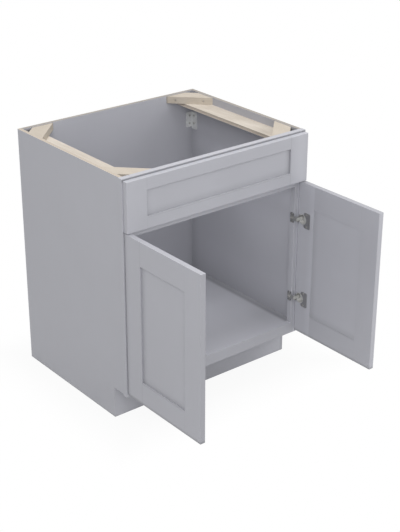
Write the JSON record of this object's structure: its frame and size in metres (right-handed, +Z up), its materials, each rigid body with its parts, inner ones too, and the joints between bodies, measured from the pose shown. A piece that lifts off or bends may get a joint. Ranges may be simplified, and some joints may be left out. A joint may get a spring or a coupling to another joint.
{
  "type": "sink base cabinet",
  "caption": "Framed sink base cabinet with an open top, a fixed false drawer front above paired recessed-panel doors on concealed hinges, and a recessed toe kick.",
  "frame": {"origin": "on the floor, in the middle of the back panel's rear face", "axes": "+Z up, +Y backwards into the wall, +X to the right as seen from the front"},
  "size_m": [0.762, 0.9887, 0.8763],
  "materials": {
    "paint_stile": "satin grey paint on solid wood",
    "paint_rail": "satin grey paint on solid wood",
    "paint_field": "satin grey paint on a flat panel",
    "paint_side": "satin grey paint on plywood, raw top edge",
    "paint_back": "satin grey paint on plywood, raw top edge",
    "paint_floor": "satin grey paint on plywood",
    "paint_toe": "satin grey paint on plywood",
    "ply": "raw plywood",
    "block_wood": "raw pale wood",
    "cup_steel": "dark nickel plate",
    "arm_steel": "bright nickel plate",
    "pin_steel": "plain steel",
    "spring_steel": "spring steel",
    "screw_steel": "zinc plate",
    "bracket_zinc": "zinc plate"
  },
  "bodies": {
    "cabinet": {"right_upper_hinge_arm": "arm_steel", "right_lower_hinge_arm": "arm_steel", "right_upper_hinge_frame_plate": "cup_steel", "right_lower_hinge_frame_plate": "cup_steel", "right_side_panel": "paint_side", "right_brace": "ply", "right_back_corner_block": "block_wood", "right_front_corner_block": "block_wood", "right_frame_stile": "paint_stile", "right_back_bracket": "bracket_zinc", "left_upper_hinge_arm": "arm_steel", "left_lower_hinge_arm": "arm_steel", "left_upper_hinge_frame_plate": "cup_steel", "left_lower_hinge_frame_plate": "cup_steel", "left_side_panel": "paint_side", "left_brace": "ply", "left_back_corner_block": "block_wood", "left_front_corner_block": "block_wood", "left_frame_stile": "paint_stile", "left_back_bracket": "bracket_zinc", "false_front_left_stile": "paint_stile", "false_front_right_stile": "paint_stile", "false_front_top_rail": "paint_rail", "false_front_bottom_rail": "paint_rail", "false_front_panel": "paint_field", "back_panel": "paint_back", "floor_panel": "paint_floor", "toe_board": "paint_toe", "frame_top_rail": "paint_rail", "frame_mid_rail": "paint_rail", "frame_bottom_rail": "paint_rail", "false_front_screws": "screw_steel", "corner_block_screws": "screw_steel", "bracket_screws": "screw_steel", "hinge_plate_screws": "screw_steel", "hinge_adjusters": "screw_steel"},
    "right_door": {"right_door_hinge_stile": "paint_stile", "right_door_meeting_stile": "paint_stile", "right_door_top_rail": "paint_rail", "right_door_bottom_rail": "paint_rail", "right_door_panel": "paint_field", "right_upper_hinge_cup": "cup_steel", "right_lower_hinge_cup": "cup_steel", "right_hinge_pins": "pin_steel", "right_hinge_springs": "spring_steel", "right_hinge_cup_screws": "screw_steel"},
    "left_door": {"left_door_hinge_stile": "paint_stile", "left_door_meeting_stile": "paint_stile", "left_door_top_rail": "paint_rail", "left_door_bottom_rail": "paint_rail", "left_door_panel": "paint_field", "left_upper_hinge_cup": "cup_steel", "left_lower_hinge_cup": "cup_steel", "left_hinge_pins": "pin_steel", "left_hinge_springs": "spring_steel", "left_hinge_cup_screws": "screw_steel"}
  },
  "joints": [
    {"name": "right_door_hinge", "type": "hinge", "parent": "cabinet", "child": "right_door", "pos_m": [0.36735, -0.6227, 0.56125], "axis": [0, 0, 1], "range_deg": [-90, 15]},
    {"name": "left_door_hinge", "type": "hinge", "parent": "cabinet", "child": "left_door", "pos_m": [-0.36735, -0.6227, 0.56125], "axis": [0, 0, -1], "range_deg": [-90, 15]}
  ]
}
